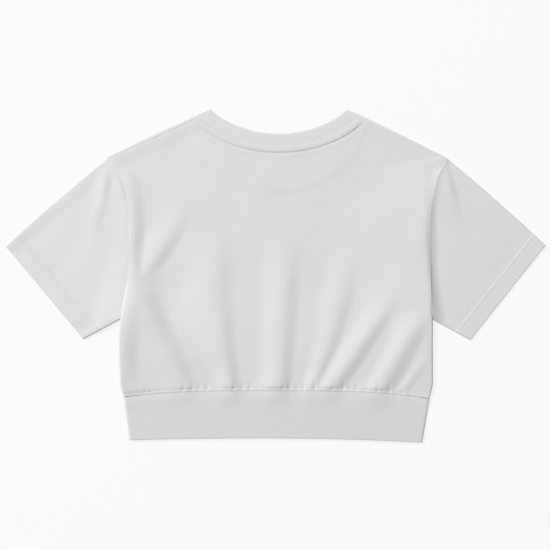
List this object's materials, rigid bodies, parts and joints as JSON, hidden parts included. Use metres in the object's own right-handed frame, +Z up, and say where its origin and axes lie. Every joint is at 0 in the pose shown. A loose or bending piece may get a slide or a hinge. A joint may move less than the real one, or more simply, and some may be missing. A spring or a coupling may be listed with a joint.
{
  "type": "crop top",
  "caption": "Boxy cropped T-shirt in plain off-white jersey, laid flat with its back up, softly gathered into a wide rib waistband.",
  "frame": {"origin": "on the surface that the garment lies on, under the middle of its outline", "axes": "+X across the garment to its right as seen with the back up, +Y from the waistband to the neck, +Z up out of the surface"},
  "size_m": [0.7844, 0.4839, 0.0145],
  "materials": {
    "jersey": "smooth matt single jersey, off-white",
    "rib": "fine matt rib knit, off-white"
  },
  "bodies": {
    "root": {"back_panel": "jersey", "front_panel": "jersey", "sleeve_left": "jersey", "sleeve_right": "jersey", "neckband": "rib", "waistband": "rib"}
  },
  "joints": []
}
